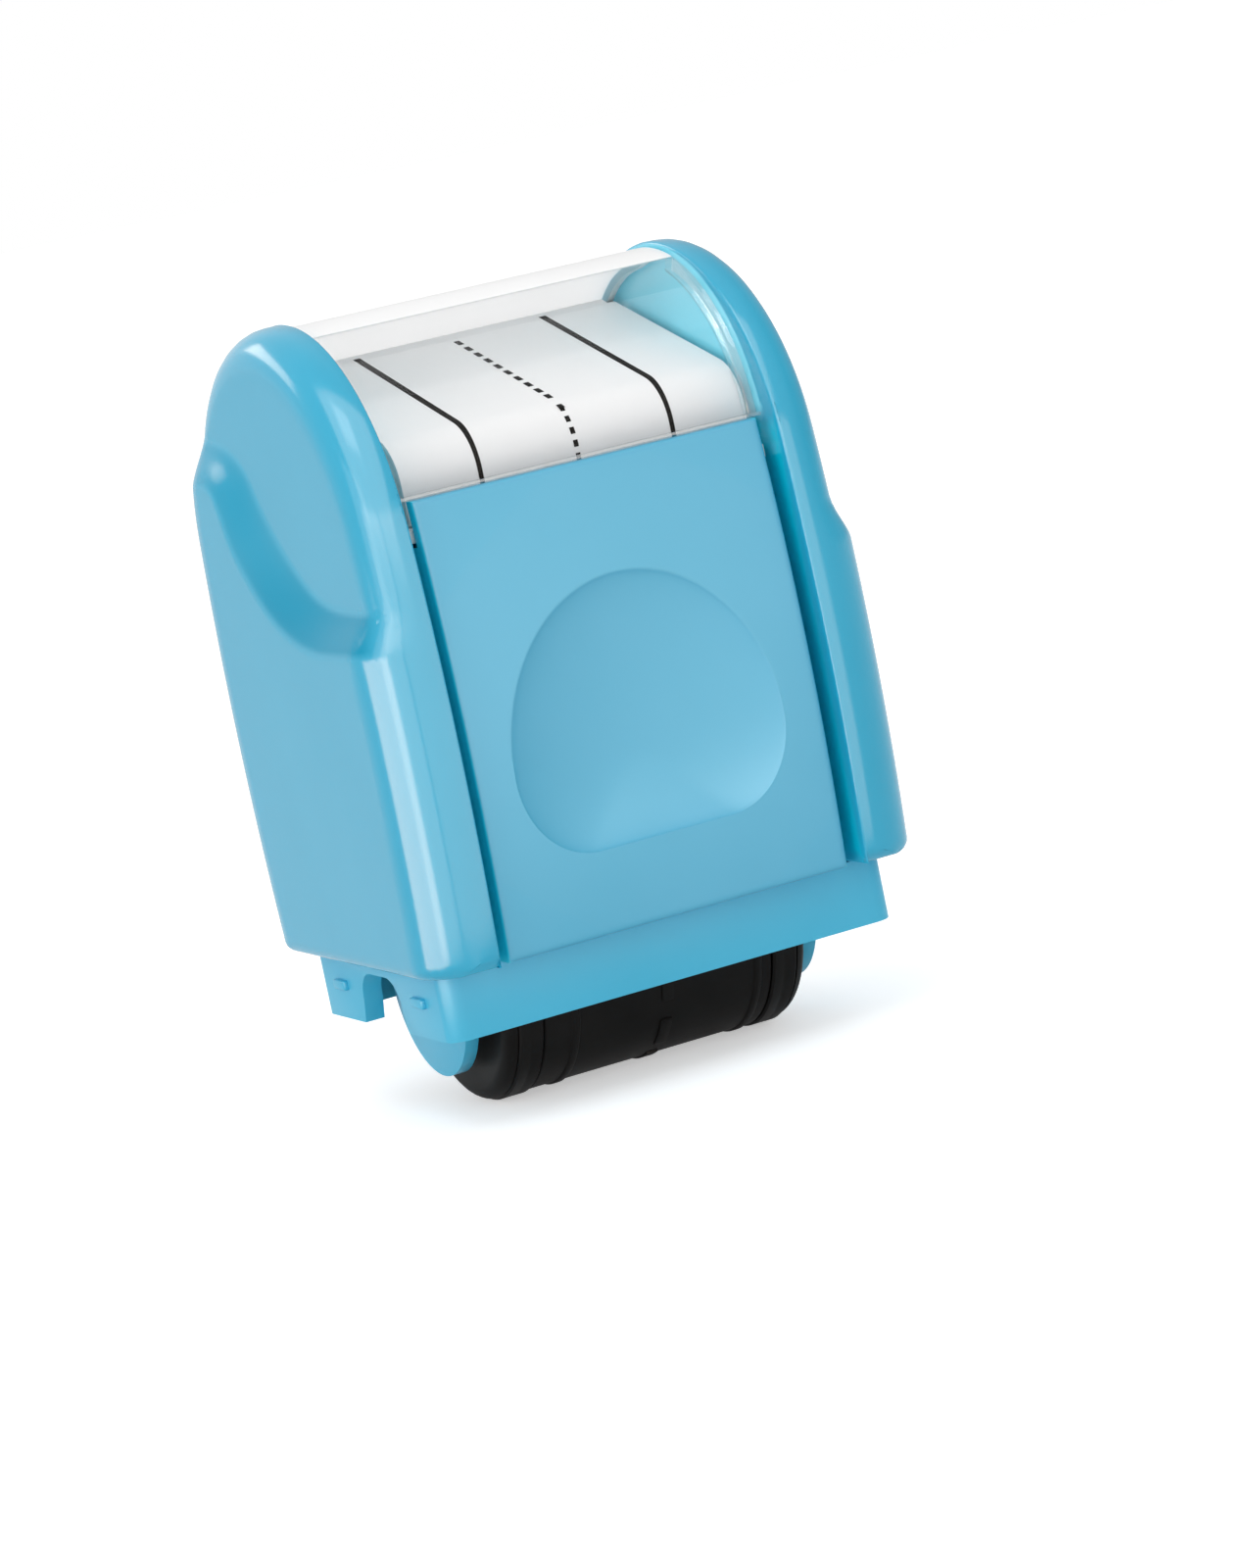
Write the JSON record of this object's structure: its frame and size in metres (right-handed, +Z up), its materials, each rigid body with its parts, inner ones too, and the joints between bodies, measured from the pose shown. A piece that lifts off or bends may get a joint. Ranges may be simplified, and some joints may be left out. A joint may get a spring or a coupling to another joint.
{
  "type": "handwriting line roller stamp",
  "caption": "Hand-held self-inking roller stamp that prints handwriting lines, with dished thumb panels, scooped side cheeks and a clear domed label window.",
  "frame": {"origin": "middle of the base of the bounding box, where the bearer rings of the roller touch the paper", "axes": "+X along the roller towards the right cheek, -Y towards the front thumb panel, +Z up towards the domed window"},
  "size_m": [0.0422, 0.0366, 0.0624],
  "materials": {
    "skirt_frame": "satin moulded plastic",
    "front_thumb_panel": "fine-grained satin moulded plastic",
    "rear_thumb_panel": "fine-grained satin moulded plastic",
    "left_cheek_cover": "satin gloss moulded plastic",
    "right_cheek_cover": "satin gloss moulded plastic",
    "card_tray": "plain moulded plastic",
    "label_card": "plain card with printed lines",
    "clear_window": "clear polished plastic",
    "left_axle_bush": "acetal-like plastic",
    "right_axle_bush": "acetal-like plastic",
    "bridge": "plain moulded plastic",
    "stamp_drum": "black moulded plastic",
    "print_sleeve": "inked black rubber",
    "left_bearer_ring": "inked black rubber",
    "right_bearer_ring": "inked black rubber",
    "stamp_axle": "turned steel",
    "ink_cradle": "plain moulded plastic",
    "ink_core": "plain moulded plastic",
    "ink_felt": "ink-soaked felt",
    "ink_axle": "turned steel",
    "left_cradle_spring": "spring wire",
    "right_cradle_spring": "spring wire"
  },
  "bodies": {
    "housing": {"skirt_frame": "skirt_frame", "front_thumb_panel": "front_thumb_panel", "rear_thumb_panel": "rear_thumb_panel", "left_cheek_cover": "left_cheek_cover", "right_cheek_cover": "right_cheek_cover", "card_tray": "card_tray", "label_card": "label_card", "left_axle_bush": "left_axle_bush", "right_axle_bush": "right_axle_bush", "bridge": "bridge", "left_cradle_spring": "left_cradle_spring", "right_cradle_spring": "right_cradle_spring"},
    "window": {"clear_window": "clear_window"},
    "stamp_roller": {"stamp_drum": "stamp_drum", "print_sleeve": "print_sleeve", "left_bearer_ring": "left_bearer_ring", "right_bearer_ring": "right_bearer_ring", "stamp_axle": "stamp_axle"},
    "cradle": {"ink_cradle": "ink_cradle"},
    "ink_roller": {"ink_core": "ink_core", "ink_felt": "ink_felt", "ink_axle": "ink_axle"}
  },
  "joints": [
    {"name": "stamp_spin", "type": "hinge", "parent": "housing", "child": "stamp_roller", "pos_m": [0, 0, 0.00993], "axis": [1, 0, 0], "continuous": true},
    {"name": "cradle_slide", "type": "slide", "parent": "housing", "child": "cradle", "axis": [0, 0, 1], "range_m": [0, 0.001], "stiffness_N_per_m": 150, "springref_m": -0.002, "deforming": ["left_cradle_spring", "right_cradle_spring"]},
    {"name": "ink_spin", "type": "hinge", "parent": "cradle", "child": "ink_roller", "pos_m": [0, 0, 0.02516], "axis": [1, 0, 0], "continuous": true},
    {"name": "window_lift", "type": "slide", "parent": "housing", "child": "window", "axis": [0, 0, 1], "range_m": [0, 0.02]}
  ],
  "couplings": [
    {"joint": "ink_spin", "follows": "stamp_spin", "ratio": -1.986}
  ]
}
